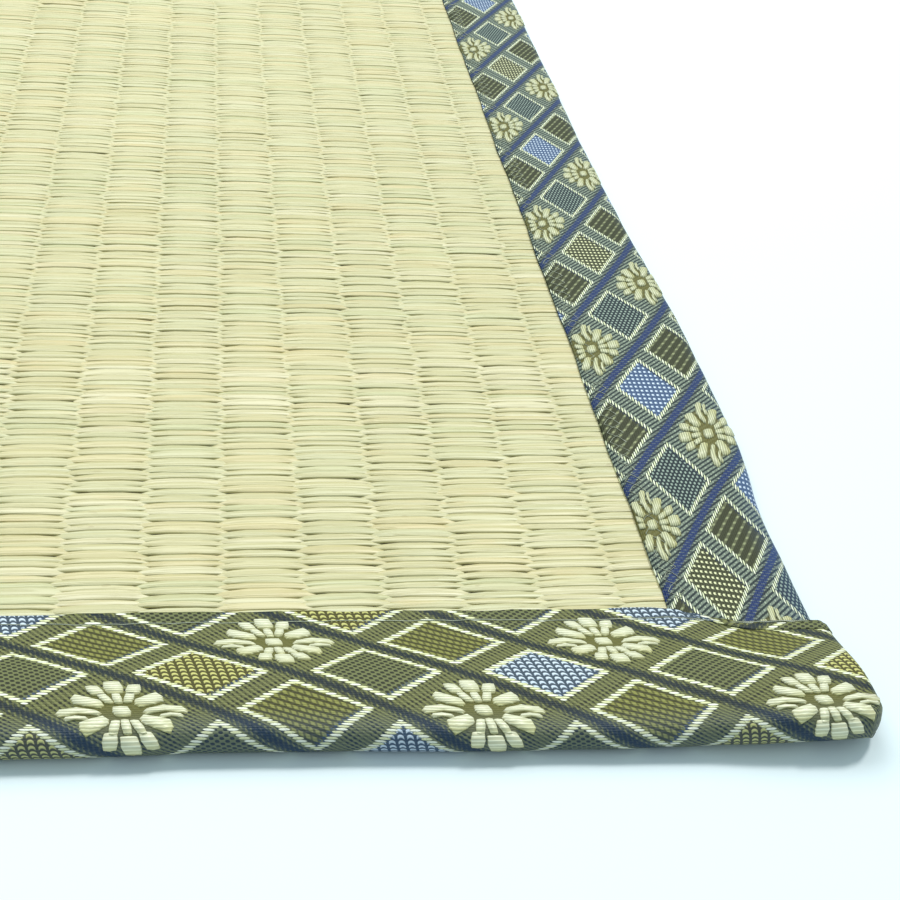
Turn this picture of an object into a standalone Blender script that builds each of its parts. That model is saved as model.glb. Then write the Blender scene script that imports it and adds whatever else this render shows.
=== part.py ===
"""A one-mat rush carpet: a woven rush mat whose four edges are bound with a folded ribbon.

Metres, +Z up, +X across the carpet, +Y along it, the origin on the floor under its middle.
The rushes run along X and the ribs of the weave along Y.  A flat sheet of rushes lies in the middle,
and its rim rides up a little over the ribbon's lower flap.
"""
import math

import bmesh
import bpy
from mathutils import Vector

# Driving dimensions of the finished carpet
WIDTH = 0.870
LENGTH = 1.740
SIDE_BINDING_WIDTH = 0.028
END_BINDING_WIDTH = 0.031
CLOTH_THICKNESS = 0.001
GAP = 0.0003

# The rush mat
RIB_WIDTH = 0.015
NEXT_RIB_IN = 0.0088          # from the right-hand binding's inner edge to the first groove
RIB_RISE = 0.0006
MAT_THICKNESS = 0.0023
RIM_THICKNESS = 0.0014        # the rushes are pressed together inside the bindings
MAT_SIDE_INSET = 0.0020
MAT_END_INSET = 0.0024

# The folds of the ribbon
UNDER_SHORTFALL = 0.004       # the lower flap is this much narrower than the upper one
FLAP_HEIGHT = CLOTH_THICKNESS + GAP + RIM_THICKNESS + GAP + CLOTH_THICKNESS
CORNER_HEIGHT = FLAP_HEIGHT + CLOTH_THICKNESS + GAP
END_FOLD_HEIGHT = 0.0059      # the end bindings puff up to this height at their fold
SIDE_BINDING_SETBACK = 0.0035 # its ends stop this far inside the end bindings' folds
CORNER_STEP = 0.012           # the end bindings climb over the side ones in this length

# The tucked-in ends of the end bindings
OVERHANG = 0.0038
OVERHANG_INNER = 0.0018
OVERHANG_START = 0.0295
OVERHANG_RISE = 0.0205
ROUNDING_REACH = 0.0052       # the outermost corner is drawn back from here on
TUCKED_HEIGHT = 2 * CLOTH_THICKNESS + 0.0005

# How the carpet lies: never quite straight, and turned up a little at one corner
WAIST = 0.008
WAIST_DEPTH = 0.60
BULGE = 0.0031
BULGE_START = 0.052           # along the right-hand edge, from the front corner
BULGE_RISE = 0.035
BULGE_FALL_START = 0.112
BULGE_FALL = 0.105
FLARE = 0.0020                # the front edge bends outwards towards the right-hand corner
FLARE_START = 0.311
FLARE_RISE = 0.110
FLARE_DEPTH = 0.040
LIFT = 0.0017
LIFT_REACH = 0.070

# How the mat's rim climbs over the lower flaps
RIM_BLEND = 0.020
RIM_MARGIN = 0.002

# How finely the shapes are divided
RIM_STEPS = 3
ARC_STEPS = 6
WAIST_STATIONS = 8
BULGE_STATIONS = 10
LIFT_SHARES = (0.12, 0.24, 0.80)
FLAP_SHARES = (1.00, 0.72, 0.42, 0.20)
OVERHANG_SHARES = (0.2, 0.4, 0.6, 0.8, 1.0)
MIDDLE_SHARES = (0.18, 0.36, 0.54, 0.72, 0.86)
STEP_SHARES = (2.0, 1.0, 0.66, 0.33, 0.0)

HALF_WIDTH = WIDTH / 2
HALF_LENGTH = LENGTH / 2


def smooth(t):
    """A soft step from 0 to 1 as t goes from 0 to 1."""
    t = min(max(t, 0.0), 1.0)
    return t * t * (3 - 2 * t)


def lie(x, y, z):
    """Move a point of the square-cut carpet to where it really lies."""
    from_front = (y + HALF_LENGTH) / WAIST_DEPTH
    waist = WAIST * math.cos(math.pi * min(max(x / WIDTH, -0.5), 0.5)) * (1 - smooth(from_front))
    along = y + HALF_LENGTH
    rise = smooth((along - BULGE_START) / BULGE_RISE)
    fall = 1 - smooth((along - BULGE_FALL_START) / BULGE_FALL)
    outward = smooth((x - HALF_WIDTH + SIDE_BINDING_WIDTH) / SIDE_BINDING_WIDTH)
    bulge = BULGE * rise * fall * outward
    flare = FLARE * smooth((x - FLARE_START) / FLARE_RISE) * (1 - smooth(along / FLARE_DEPTH))
    corner = math.hypot(HALF_WIDTH - x, y + HALF_LENGTH)
    lift = LIFT * max(0.0, 1 - corner / LIFT_REACH) ** 2
    return Vector((x + bulge, y + waist - flare, z + lift))


def plain_material(name, colour, roughness):
    material = bpy.data.materials.new(name)
    material.use_nodes = True
    shader = material.node_tree.nodes["Principled BSDF"]
    shader.inputs["Base Color"].default_value = (*colour, 1.0)
    shader.inputs["Roughness"].default_value = roughness
    shader.inputs["Metallic"].default_value = 0.0
    return material


def new_object(name, mesh_data, material, collection, parent):
    mesh = bpy.data.meshes.new(name)
    mesh_data.to_mesh(mesh)
    mesh_data.free()
    mesh.shade_smooth()
    mesh.set_sharp_from_angle(angle=math.radians(40))
    mesh.materials.append(material)
    piece = bpy.data.objects.new(name, mesh)
    collection.objects.link(piece)
    piece.parent = parent
    return piece


def rib_grooves():
    """The places across the mat where one rib of the weave meets the next."""
    groove = HALF_WIDTH - SIDE_BINDING_WIDTH - NEXT_RIB_IN
    grooves = []
    while groove > -HALF_WIDTH + MAT_SIDE_INSET:
        grooves.append(groove)
        groove -= RIB_WIDTH
    return grooves


def rim_share(x, y):
    """1 where the mat lies inside the bindings, 0 where it lies on the floor."""
    side_flap = SIDE_BINDING_WIDTH - UNDER_SHORTFALL + RIM_MARGIN
    end_flap = END_BINDING_WIDTH - UNDER_SHORTFALL + RIM_MARGIN
    from_side = (HALF_WIDTH - abs(x) - side_flap) / RIM_BLEND
    from_end = (HALF_LENGTH - abs(y) - end_flap) / RIM_BLEND
    return max(1 - smooth(from_side), 1 - smooth(from_end))


def mat_top(x, y):
    to_crown = abs((HALF_WIDTH - SIDE_BINDING_WIDTH - NEXT_RIB_IN - x) / RIB_WIDTH % 1 - 0.5) * 2
    rim_top = CLOTH_THICKNESS + GAP + RIM_THICKNESS
    crown = MAT_THICKNESS + (rim_top - MAT_THICKNESS) * rim_share(x, y)
    return crown - RIB_RISE * to_crown


def mat_underside(x, y):
    return (CLOTH_THICKNESS + GAP) * rim_share(x, y)


def rim_lines(half_size, flap):
    """Lines that follow the mat's climb over a lower flap, at both ends of one axis."""
    lines = []
    for step in range(RIM_STEPS + 1):
        inward = flap - UNDER_SHORTFALL + RIM_MARGIN + RIM_BLEND * step / RIM_STEPS
        lines += [half_size - inward, inward - half_size]
    return lines


def cut_box(half_x, half_y, cuts_x, cuts_y):
    """A flat box, one unit thick about z = 0, divided along the given lines."""
    box = bmesh.new()
    bmesh.ops.create_cube(box, size=1.0)
    bmesh.ops.scale(box, vec=(2 * half_x, 2 * half_y, 1), verts=box.verts)
    for axis, cuts in ((0, cuts_x), (1, cuts_y)):
        normal = Vector((1, 0, 0)) if axis == 0 else Vector((0, 1, 0))
        for cut in cuts:
            geometry = box.verts[:] + box.edges[:] + box.faces[:]
            bmesh.ops.bisect_plane(box, geom=geometry, plane_co=normal * cut, plane_no=normal, dist=1e-6)
    return box


def make_mat(material, collection, parent):
    half_x = HALF_WIDTH - MAT_SIDE_INSET
    half_y = HALF_LENGTH - MAT_END_INSET
    grooves = rib_grooves()
    crowns = [groove + RIB_WIDTH / 2 for groove in grooves]
    cuts_x = [cut for cut in grooves + crowns if abs(cut) < half_x - GAP]
    cuts_y = rim_lines(HALF_LENGTH, END_BINDING_WIDTH)
    cuts_y += [-HALF_LENGTH + WAIST_DEPTH * step / WAIST_STATIONS for step in range(1, WAIST_STATIONS + 1)]
    cuts_y += [-HALF_LENGTH + LIFT_REACH * share for share in LIFT_SHARES]
    box = cut_box(half_x, half_y, cuts_x, cuts_y)
    for vertex in box.verts:
        x, y, side = vertex.co
        height = mat_top(x, y) if side > 0 else mat_underside(x, y)
        vertex.co = lie(x, y, height)
    return new_object("rush_mat", box, material, collection, parent)


def fold_profile(width, fold_height, flap_height):
    """The ribbon's middle line across an edge, as (inward, height) from the upper flap to the lower one.

    The upper flap climbs from flap_height at its free edge to fold_height at the fold.
    """
    half_sheet = CLOTH_THICKNESS / 2
    radius = fold_height / 2 - half_sheet
    middle = fold_height / 2
    profile = []
    for share in FLAP_SHARES:
        inward = half_sheet + radius + (width - half_sheet - radius) * share
        climbed = smooth((1 - share) / (1 - FLAP_SHARES[-1]))
        height = flap_height + (fold_height - flap_height) * climbed
        profile.append((inward, height - half_sheet))
    for step in range(ARC_STEPS + 1):
        angle = math.pi * step / ARC_STEPS
        profile.append((half_sheet + radius - radius * math.sin(angle), middle + radius * math.cos(angle)))
    profile.append((width - UNDER_SHORTFALL, half_sheet))
    return profile


def sheet_of(rows, keep_face):
    """An open sheet through equal rows of points; keep_face says which of its faces stay."""
    sheet = bmesh.new()
    grid = [[sheet.verts.new(point) for point in row] for row in rows]
    for along in range(len(grid) - 1):
        for across in range(len(grid[0]) - 1):
            if keep_face(along, across):
                corners = (
                    grid[along][across],
                    grid[along + 1][across],
                    grid[along + 1][across + 1],
                    grid[along][across + 1],
                )
                sheet.faces.new(corners)
    loose = [vertex for vertex in sheet.verts if not vertex.link_faces]
    bmesh.ops.delete(sheet, geom=loose, context="VERTS")
    return sheet


def thicken(piece):
    solidify = piece.modifiers.new("cloth", "SOLIDIFY")
    solidify.thickness = CLOTH_THICKNESS
    solidify.offset = 0.0
    solidify.use_even_offset = True


def side_stations():
    """Where along the carpet a side binding has a row of points."""
    last = HALF_LENGTH - SIDE_BINDING_SETBACK
    trimmed = HALF_LENGTH - (END_BINDING_WIDTH - UNDER_SHORTFALL) - 2 * GAP
    bulge_length = BULGE_FALL_START + BULGE_FALL - BULGE_START
    stations = [-last, -trimmed]
    for step in range(BULGE_STATIONS + 1):
        stations.append(-HALF_LENGTH + BULGE_START + bulge_length * step / BULGE_STATIONS)
    stations += [-HALF_LENGTH + WAIST_DEPTH * share for share in (0.5, 0.75, 1.0)]
    stations += [trimmed, last]
    return stations


def make_side_binding(name, side, material, collection, parent):
    """A ribbon folded over a long edge; side is 1 for +X and -1 for -X."""
    profile = fold_profile(SIDE_BINDING_WIDTH, FLAP_HEIGHT, FLAP_HEIGHT)
    stations = side_stations()
    rows = []
    for y in stations:
        rows.append([lie(side * (HALF_WIDTH - inward), y, height) for inward, height in profile])
    mid_fold = len(profile) - 2 - ARC_STEPS // 2
    last = len(stations) - 2

    def keep_face(along, across):
        return 0 < along < last or across < mid_fold

    binding = new_object(name, sheet_of(rows, keep_face), material, collection, parent)
    thicken(binding)
    return binding


def end_heights(x):
    """The heights of an end binding's fold and of its flap's free edge, which climbs over a side binding.

    Both are less where the binding's end is tucked in.
    """
    over_side = smooth((abs(x) - HALF_WIDTH + SIDE_BINDING_WIDTH + GAP + CORNER_STEP) / CORNER_STEP)
    flap = FLAP_HEIGHT + (CORNER_HEIGHT - FLAP_HEIGHT) * over_side
    tucked = smooth((abs(x) - HALF_WIDTH - GAP) / (OVERHANG - GAP))
    return [height + (TUCKED_HEIGHT - height) * tucked for height in (END_FOLD_HEIGHT, flap)]


def end_overhang(inward):
    """How far a tucked-in end reaches past the side binding, most of all near the outer corner."""
    share = min(max((OVERHANG_START - inward) / OVERHANG_RISE, 0.0), 1.0)
    reach = OVERHANG_INNER + (OVERHANG - OVERHANG_INNER) * math.sin(math.pi / 2 * share)
    return reach * (1 - max(0.0, 1 - inward / ROUNDING_REACH) ** 1.5)


def end_stations():
    """The rows of points of an end binding, as (place across the carpet, share of the overhang)."""
    inner = HALF_WIDTH - SIDE_BINDING_WIDTH - GAP
    half = [(inner * share, 0.0) for share in MIDDLE_SHARES]
    half += [(inner - CORNER_STEP * share, 0.0) for share in STEP_SHARES]
    half += [(HALF_WIDTH - SIDE_BINDING_WIDTH / 2, 0.0), (HALF_WIDTH, 0.0)]
    half += [(HALF_WIDTH, share) for share in OVERHANG_SHARES]
    left = [(-x, share) for x, share in reversed(half)]
    return left + [(0.0, 0.0)] + half


def make_end_binding(name, end, material, collection, parent):
    """A ribbon folded over a short edge and the side bindings' ends; end is 1 for +Y and -1 for -Y."""
    full_fold = fold_profile(END_BINDING_WIDTH, END_FOLD_HEIGHT, CORNER_HEIGHT)
    rows = []
    for x, share in end_stations():
        row = []
        for place, (full_inward, _) in enumerate(full_fold):
            x_here = x + math.copysign(share * end_overhang(full_inward), x)
            fold = fold_profile(END_BINDING_WIDTH, *end_heights(x_here))
            inward, height = fold[place]
            row.append(lie(x_here, end * (HALF_LENGTH - inward), height))
        rows.append(row)
    binding = new_object(name, sheet_of(rows, lambda along, across: True), material, collection, parent)
    thicken(binding)
    return binding


def main():
    for old in list(bpy.data.objects):
        bpy.data.objects.remove(old, do_unlink=True)
    collection = bpy.data.collections.new("rush_grass_carpet")
    bpy.context.scene.collection.children.link(collection)
    carpet = bpy.data.objects.new("carpet", None)
    collection.objects.link(carpet)
    rush = plain_material("rush", (0.78, 0.74, 0.50), 0.62)
    brocade = plain_material("brocade", (0.16, 0.19, 0.13), 0.70)
    make_mat(rush, collection, carpet)
    make_side_binding("side_binding_right", 1, brocade, collection, carpet)
    make_side_binding("side_binding_left", -1, brocade, collection, carpet)
    make_end_binding("end_binding_front", -1, brocade, collection, carpet)
    make_end_binding("end_binding_back", 1, brocade, collection, carpet)


main()
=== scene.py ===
import math

import bpy
import numpy as np
from mathutils import Matrix, Vector


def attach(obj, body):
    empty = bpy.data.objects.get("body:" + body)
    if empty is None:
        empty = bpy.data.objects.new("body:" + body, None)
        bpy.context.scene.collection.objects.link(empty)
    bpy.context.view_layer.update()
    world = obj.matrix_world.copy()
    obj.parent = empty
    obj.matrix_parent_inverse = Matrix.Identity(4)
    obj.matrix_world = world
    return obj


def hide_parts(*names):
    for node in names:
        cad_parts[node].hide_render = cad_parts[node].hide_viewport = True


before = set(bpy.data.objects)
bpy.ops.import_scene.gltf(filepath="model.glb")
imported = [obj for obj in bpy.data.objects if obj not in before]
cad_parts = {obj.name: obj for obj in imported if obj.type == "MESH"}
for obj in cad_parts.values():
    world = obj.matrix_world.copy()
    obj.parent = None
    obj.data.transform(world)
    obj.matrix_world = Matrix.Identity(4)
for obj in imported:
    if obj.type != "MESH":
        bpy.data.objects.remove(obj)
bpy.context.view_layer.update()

rng = np.random.default_rng(1740)

# The finished carpet, in metres
WIDTH = 0.870
LENGTH = 1.740
HALF_WIDTH = WIDTH / 2
HALF_LENGTH = LENGTH / 2
SIDE_RIBBON_WIDTH = 0.028
END_RIBBON_WIDTH = 0.031
MAT_INSET = 0.0022

# How the carpet lies: its front edge drawn in, its right edge bulging, the corner between flared and lifted
WAIST = 0.008
WAIST_DEPTH = 0.60
BULGE = 0.0031
BULGE_START = 0.052
BULGE_RISE = 0.035
BULGE_FALL_START = 0.112
BULGE_FALL = 0.105
FLARE = 0.0020
FLARE_START = 0.311
FLARE_RISE = 0.110
FLARE_DEPTH = 0.040
LIFT = 0.0017
LIFT_REACH = 0.070

# The rush weave
RIB_WIDTH = 0.015
FIRST_GROOVE = 0.0082
RIBS_EACH_SIDE = 27
STRAND_PITCH = 0.000925
STRAND_JITTER = 0.42
WEAVE_HALF_LENGTH = HALF_LENGTH - 0.0245
CREST_HEIGHT = 0.00245
RIM_RISE = 0.00025
RIM_SLOPE = 0.020
SIDE_RIM = 0.026
END_RIM = 0.029
TONE_MIDDLE = 0.5
TONE_SPREAD = 0.24
RUSH_TONE_SPREAD = 0.06

# One length of rush in the near corner: places as shares of its half length, and angles round its stem
RUSH_STATIONS = np.array((-1.0, -0.93, -0.82, -0.64, -0.3, 0.3, 0.64, 0.82, 0.93, 1.0))
RUSH_ANGLES = np.radians((-102, -74, -48, 0, 48, 74, 102))
RUSH_DEPTH = 0.00028
RUSH_FULLNESS = 1.10
RUSH_NARROWING = 0.27
TIP_NARROWING = 0.12
TIP_OVERLAP = 0.0018
ARCH = 0.00080
NEAR_COLUMNS = 12
NEAR_LENGTH = 0.372

# How far one rush may differ from another, either way
RUSHES_DIFFER = {
    "tip": 0.4, "width": 0.12, "narrowing": 0.15, "slope": 0.00022,
    "bow": 0.00012, "roll": 0.10, "place": 0.00006, "height": 0.00011,
}

# The plainer weave beyond: how low it is behind a raised strand and in a groove, and how much shade is
# painted there
HIDDEN_DROP = 0.00036
GROOVE_DROP = 0.00058
HIDDEN_SHADE = 0.66
GROOVE_SHADE = 0.72
FAR_SWAY = 0.00005
FAR_UNEVEN = 0.00008
FAR_TILES = 6

# The closed sheet under the rushes
GROUND_TOP = 0.00145
GROUND_THICKNESS = 0.0009
GROUND_RIM_TOP = 0.0003
GROUND_RIM_LOW = 0.0004
GROUND_ROWS = 96
GROUND_COLUMNS = 48

# The ribbons' folded section
CLOTH = 0.00045
EDGE_HEIGHT = 0.00320
SIDE_CROWN = 0.0037
SIDE_FOLD = 0.003
SIDE_CLIMB = 0.010
SIDE_UNDER_START = 0.008
END_CROWN = 0.0059
END_CLIMB_START = 0.0275
END_CLIMB = 0.0165
END_UNDER_START = 0.009
UNDER_SHORTFALL = 0.004
UPPER_SHARE = 0.6
UPPER_FADE = 0.002
OFF_FLOOR = 0.00042

# Where the ribbons cross at the corners
SIDE_RIBBON_SETBACK = 0.0035
SIDE_PRESSED = 0.00035
UNDER_LIFT = 0.00050
SIDE_END_SLOPE = 0.006
LAP_RISE = 0.00070
LAP_SLOPE = 0.005
OVERHANG = 0.0038
OVERHANG_INNER = 0.0018
OVERHANG_START = 0.0295
OVERHANG_RISE = 0.0205
ROUNDING_REACH = 0.0052
UNDER_OVERHANG = 0.25
UNDER_REACH = 0.009
CLOSING_START = 0.003
CLOSING_REACH = 0.0026
TUCK_HEIGHT = 0.0016
TUCK_SLACK = 0.00035
TIP_SLACK = 0.00015
TUCK_FADE = 0.003

# An end ribbon's free edge near the corners: drawn in and turned under itself
DRAWN_IN = 0.0031
TURNED_IN = 0.0021
TURN_START = 0.034
TURN_SLOPE = 0.021
TURN_DROP = 0.0004
CORNER_PUFF = 0.12
PRESSED = 0.08
PRESSED_START = 0.33
PRESSED_SLOPE = 0.05

# A ribbon edge's slow unevenness, as (length of a wave, height of it); and the seed of the free edge's waves,
# the seed of the fold's, and how strong the fold's are
EDGE_WAVES = ((0.071, 0.00016), (0.029, 0.00010), (0.013, 0.00005))
EDGES_WAVE = {"side": (2.1, 0.7, 0.8), "end": (1.3, 3.9, 0.7)}

# Steps along a ribbon: where it shows from near, in the same place on its twin, and elsewhere
SEEN_STEP = 0.0014
TWIN_STEP = 0.0035
FAR_STEP = 0.0042
SEEN_SIDE_LENGTH = 0.36
SEEN_END_START = 0.16

# The sewing; how far the thread stands out of the cloth and sinks into it is in radii
STITCH_INSET = 0.0027
STITCH_LENGTH = 0.0085
STITCH_DIP = 0.00018
STITCH_SPREAD = 0.0016
STITCH_SWAY = 0.00005
LAST_STITCH = {"side": HALF_LENGTH - 0.033, "end": HALF_WIDTH - 0.001}
THREAD_RADIUS = 0.00009
THREAD_HIGH = 1.1
THREAD_SUNK = 2.6
ZIGZAG_LENGTH = 0.0066
ZIGZAG_INNER = 0.0004
ZIGZAG_OUTER = 0.0052

# The ribbon's pattern: threads in millimetres, and the diamonds' outline and stripes as shares of a cell
MM = 1000.0
THREAD_ROW = 0.50
FLOAT_ROW = 1.0
TOOTH = 0.80
LEAN = 0.8
RIM_MIDDLE = 0.361
ROW_STAGGER = 0.006
STRIPE = 0.042
FOLD_BAND = (25.0, 33.0)

# start: the middle of one diamond; pitch and cell_across: a diamond's size; first_row: where its rows start;
# skew: its lean; float_pitch and float_half: one column of the big floats and half a float's length;
# ground: pitch, row height and half length of its specks; twill: slope, height of a rib, length of a lump and
# how thin it is; rim_half and line_half: half the breadth of an outline and of the dark line, as shares of a
# cell; taut: how much closer the threads lie over the fold, in millimetres
PATTERNS = {
    "end": dict(start=21.6, pitch=30.1, first_row=-0.42, cell_across=17.25, skew=0.27,
                float_pitch=1.61, float_half=0.34, ground=(1.68, 0.50, 0.26), twill=(0.47, 1.50, 1.05, 0.25),
                rim_half=0.034, stroke_gap=0.9, line_half=0.039, relief=-0.3, taut=2.6),
    "side": dict(start=-362.7, pitch=30.3, first_row=-4.8, cell_across=18.6, skew=0.0,
                 float_pitch=1.43, float_half=0.22, ground=(2.07, 0.47, 0.20), twill=(0.65, 2.08, 1.84, 0.55),
                 rim_half=0.031, stroke_gap=1.8, line_half=0.046, relief=0.3, taut=0.0),
}

# Where the pattern's own zero lies along each ribbon at the near corner, in millimetres
PATTERN_START = {"end": -323.2, "side": 436.2}

# How an end ribbon's pattern has slipped: in a slow wave along it, at its free edge and over its fold.  The
# slips and the places across are in millimetres, the places along are in metres.
SLIP_WAVE = 0.20
SLIP_WAVE_START = 0.305
SLIP_WAVE_LENGTH = 0.190
EDGE_SLIP = 0.30
FOLD_SLIP = 1.6
FOLD_SLIP_START = 26
SLIP_FADE = 8

# How a side ribbon's has slipped near the front corner: a start, and more for each millimetre across
CORNER_SLIPS = ((1.85, 0.20), (1.2, 0.09))
CORNER_SLIP_END = 0.035
CORNER_SLIP_FADE = 0.090

# The flowers' chart for one quarter: along, across, half length, half width, degrees, lean, narrowing towards
# the middle, droop of the ends, and whether it is mirrored upwards too; in millimetres
FLOWER_BLOCKS = (
    (0.0, 0.0, 1.55, 1.10, 0, 0.0, 0.0, 0.0, False),
    (0.0, 2.72, 0.82, 1.18, 0, 0.0, 0.0, 0.0, True),
    (0.0, 5.20, 1.68, 1.38, 0, 0.0, 0.0, 0.0, True),
    (1.92, 2.80, 0.88, 1.12, 0, 0.50, 0.0, 0.0, True),
    (3.10, 4.55, 1.32, 1.12, 0, 0.40, 0.0, 0.0, True),
    (4.95, 2.25, 2.68, 1.05, 18, 0.0, 0.12, 0.0, True),
    (6.95, -0.42, 3.80, 0.66, 0, 0.0, 0.22, 0.65, False),
    (7.60, 0.98, 2.10, 0.36, 0, 0.0, 0.0, 0.35, False),
)
FLOWER_SKEW = 0.32
FLOWER_START = 0.6
FLOWER_SHARE = 0.62

# A flower's raised block: its points as shares of its half size, then heights and distances in metres
BLOCK_GRID = np.array((-1.0, -0.88, 0.0, 0.88, 1.0))
BLOCK_EDGE = 0.9
BLOCK_RISE = 0.00034
BLOCK_SINK = -0.00002
BLOCK_FROM_END = 0.0034
BLOCK_FROM_EDGE = 0.00012

# The paints, as sRGB
RUSH_PAINTS = {
    "green": (200, 198, 158), "straw": (205, 196, 151), "bleached": (224, 219, 190),
    "unripe": (190, 190, 140), "tan": (211, 190, 136), "cool": (201, 202, 164),
    "blotch": (213, 190, 138), "streak": (168, 160, 102), "speck": (140, 116, 66),
    "shadow": (166, 156, 98), "under stem": (200, 192, 136), "under gap shade": (134, 124, 72),
}
# The side ribbons are the same brocade as the end ones: their paints are the cloth's own colours with a
# painted sheen, the cooler and glossier look the cloth shows along its length. The fold paint is a painted
# bluish reflection over the fold.
RIBBON_PAINTS = {
    "end": {
        "dark": (108, 113, 70), "dark dot": (34, 38, 18),
        "gold": (74, 70, 24), "gold dot": (200, 198, 120),
        "blue": (58, 74, 88), "blue dot": (206, 220, 232),
        "rib": (60, 60, 22), "rib stripe": (136, 137, 70),
        "band": (118, 121, 72), "band dot": (32, 36, 18),
        "flank dark": (36, 48, 46), "line": (22, 36, 42), "slits": 0.2, "comb": (46, 66, 96),
        "cream": (240, 242, 222), "pale gold": (220, 222, 172), "gap": (112, 116, 70),
        "heart": (98, 97, 44), "shade": (30, 36, 22), "fold": (60, 92, 136),
    },
    "side": {
        "dark": (20, 38, 44), "dark dot": (146, 164, 150),
        "gold": (58, 62, 34), "gold dot": (226, 228, 180),
        "blue": (62, 86, 120), "blue dot": (208, 224, 240),
        "rib": (50, 54, 26), "rib stripe": (150, 156, 114),
        "band": (27, 43, 44), "band dot": (152, 165, 144),
        "flank dark": (20, 34, 48), "line": (18, 46, 98), "slits": 0.35, "comb": (24, 40, 60),
        "cream": (238, 242, 214), "pale gold": (220, 226, 184), "gap": (56, 66, 50),
        "heart": (100, 96, 38), "shade": (12, 18, 18), "fold": (60, 92, 136),
    },
}
# The floss paints; the side ones differ from the end ones by a painted sheen, and the last number sets how
# much shade is painted between the threads
FLOSS_PAINTS = {
    "end": {"light": (240, 242, 214), "warm": (226, 222, 142), "dark": (122, 116, 44), "painted_shade": 0.45},
    "side": {"light": (232, 234, 190), "warm": (212, 204, 112), "dark": (58, 60, 22), "painted_shade": 0.55},
}
THREAD_PAINT = (146, 154, 132)
FLOOR_PAINT = (220, 232, 236)

# The light, the floor and the camera
SUN_STRENGTH = 1.65
SUN_WIDTH_DEGREES = 10
SUN_COLOUR = (1.0, 0.985, 0.955)
SUN_TRAVELS = (-0.36, -0.45, -0.85)
LAMP_POWER = 13.5
LAMP_SIZE = 1.0
LAMP_PLACE = (0.05, 0.05, 1.05)
ROOM_STRENGTH = 0.635
ROOM_COLOUR = (0.79, 0.96, 1.0, 1.0)
FLOOR_HALF_SIZE = 20.0
CAMERA_PLACE = (0.3228, -1.0041, 0.1787)
CAMERA_DEGREES = (38.675, 12.874, 7.479)
CAMERA_LENS = 52.22
NEAREST_SEEN = 0.005


def smooth(t):
    t = np.clip(t, 0.0, 1.0)
    return t * t * (3 - 2 * t)


def lie(points):
    """Moves points of the square-cut carpet to where it really lies."""
    x, y, z = points.T
    from_front = (y + HALF_LENGTH) / WAIST_DEPTH
    waist = WAIST * np.cos(np.pi * np.clip(x / WIDTH, -0.5, 0.5)) * (1 - smooth(from_front))
    along = y + HALF_LENGTH
    rise = smooth((along - BULGE_START) / BULGE_RISE)
    fall = 1 - smooth((along - BULGE_FALL_START) / BULGE_FALL)
    outward = smooth((x - HALF_WIDTH + SIDE_RIBBON_WIDTH) / SIDE_RIBBON_WIDTH)
    bulge = BULGE * rise * fall * outward
    flare = FLARE * smooth((x - FLARE_START) / FLARE_RISE) * (1 - smooth(along / FLARE_DEPTH))
    corner = np.hypot(HALF_WIDTH - x, y + HALF_LENGTH)
    lift = LIFT * np.maximum(0.0, 1 - corner / LIFT_REACH) ** 2
    return np.column_stack((x + bulge, y + waist - flare, z + lift))


# Meshes

def add_object(name, data):
    thing = bpy.data.objects.new(name, data)
    bpy.context.scene.collection.objects.link(thing)
    return thing


def grid_quads(rows, columns):
    """The faces of a sheet of rows x columns points."""
    first = (np.arange(rows - 1)[:, None] * columns + np.arange(columns - 1)).reshape(-1, 1)
    return np.hstack((first, first + 1, first + columns + 1, first + columns))


def many(quads, count, size):
    """The faces of count like pieces of size points each."""
    return (quads[None] + size * np.arange(count)[:, None, None]).reshape(-1, 4)


def make_object(name, points, quads, material, values=None, maps=None):
    """A smooth mesh object, with a number for each point under each label in values, and its flat maps."""
    mesh = bpy.data.meshes.new(name)
    mesh.vertices.add(len(points))
    mesh.vertices.foreach_set("co", np.ascontiguousarray(points, np.float32).ravel())
    mesh.loops.add(quads.size)
    mesh.loops.foreach_set("vertex_index", quads.astype(np.int32).ravel())
    mesh.polygons.add(len(quads))
    mesh.polygons.foreach_set("loop_start", np.arange(0, quads.size, 4, dtype=np.int32))
    mesh.update(calc_edges=True)
    mesh.validate()
    mesh.shade_smooth()
    for label, numbers in (values or {}).items():
        layer = mesh.attributes.new(label, "FLOAT", "POINT")
        layer.data.foreach_set("value", numbers.astype(np.float32))
    for label, places in (maps or {}).items():
        corners = places[quads.ravel()].astype(np.float32)
        mesh.uv_layers.new(name=label).data.foreach_set("uv", corners.ravel())
    mesh.materials.append(material)
    return add_object(name, mesh)


def folded_map(along, across, length, width, rows):
    """A bake map for a long strip: cut into equal rows that are laid side by side in the square."""
    margin = 0.01
    part = np.clip(along / length * rows, 0, rows - 1e-4)
    row = np.floor(part)
    share = margin + (1 - 2 * margin) * np.clip(across / width, 0, 1)
    return np.column_stack((part - row, (row + share) / rows))


# Shader arithmetic

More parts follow.
